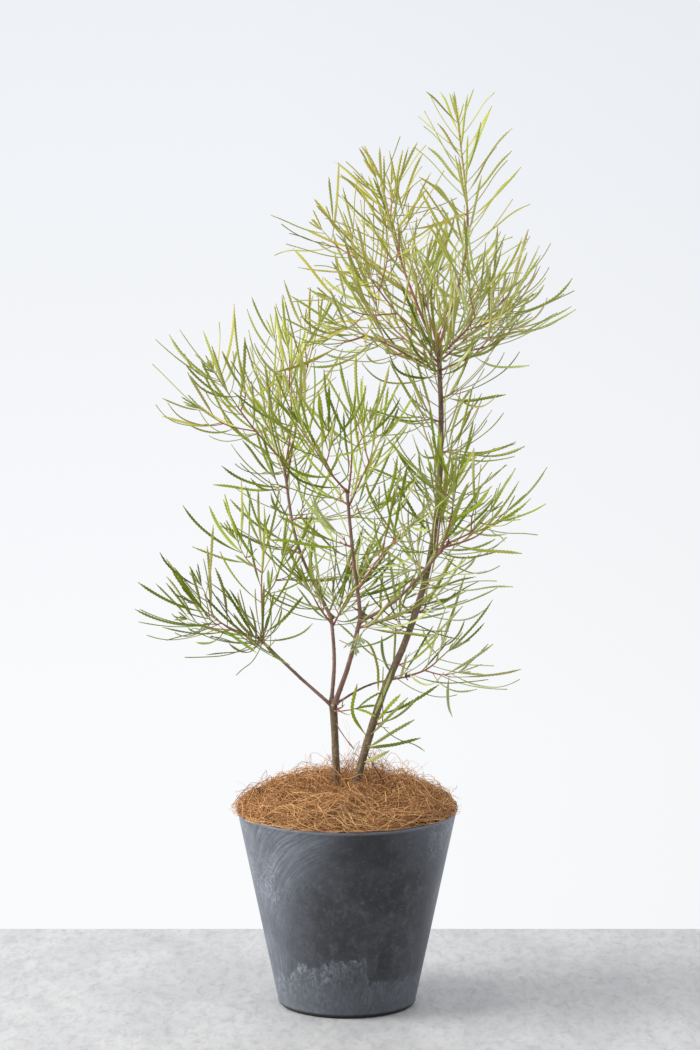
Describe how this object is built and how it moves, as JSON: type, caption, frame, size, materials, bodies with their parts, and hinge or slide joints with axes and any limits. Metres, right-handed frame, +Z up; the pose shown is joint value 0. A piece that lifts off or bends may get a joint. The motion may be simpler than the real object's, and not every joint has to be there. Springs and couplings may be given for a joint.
{
  "type": "potted hairpin banksia",
  "caption": "Young potted evergreen shrub with two slender stems, thin boughs and open sprays of narrow toothed leaves, mulched with coir in a tapered round pot.",
  "frame": {"origin": "centre of the flat underside of the pot", "axes": "+Z up, +X to the right and +Y away, as the plant is seen from the front"},
  "size_m": [0.4588, 0.3522, 0.9966],
  "materials": {
    "pot": "satin, marbled grey-blue",
    "soil": "moist potting mix",
    "coir": "loose coconut fibre",
    "bark": "rough grey-brown bark",
    "bough_bark": "purple-brown bark",
    "foliage": "leathery leaf"
  },
  "bodies": {
    "root": {"bough_centre": "bough_bark", "bough_centre_left": "bough_bark", "bough_centre_upper": "bough_bark", "bough_crossing": "bough_bark", "bough_far_left": "bough_bark", "bough_left_upper": "bough_bark", "bough_low_right": "bough_bark", "coir_mulch": "coir", "pot": "pot", "soil": "soil", "spray_centre_back": "foliage", "spray_centre_left": "foliage", "spray_centre_right": "foliage", "spray_centre_side": "foliage", "spray_centre_top": "foliage", "spray_inner_back": "foliage", "spray_inner_left": "foliage", "spray_leader": "foliage", "spray_left_low": "foliage", "spray_left_rising": "foliage", "spray_low_right": "foliage", "spray_right_back": "foliage", "spray_right_front": "foliage", "spray_right_inner": "foliage", "spray_right_rising": "foliage", "spray_top_back": "foliage", "spray_top_far_left": "foliage", "spray_top_low_left": "foliage", "spray_top_main": "foliage", "spray_top_mid_left": "foliage", "spray_top_right": "foliage", "spray_top_right_back": "foliage", "spray_top_right_front": "foliage", "spray_upper_back": "foliage", "spray_upper_gold": "foliage", "spray_upper_left": "foliage", "spray_upper_top": "foliage", "spur_1": "foliage", "spur_10": "foliage", "spur_11": "foliage", "spur_12": "foliage", "spur_13": "foliage", "spur_14": "foliage", "spur_15": "foliage", "spur_16": "foliage", "spur_17": "foliage", "spur_18": "foliage", "spur_19": "foliage", "spur_2": "foliage", "spur_3": "foliage", "spur_4": "foliage", "spur_5": "foliage", "spur_6": "foliage", "spur_7": "foliage", "spur_8": "foliage", "spur_9": "foliage", "stem_left": "bark", "stem_right": "bark"}
  },
  "joints": []
}
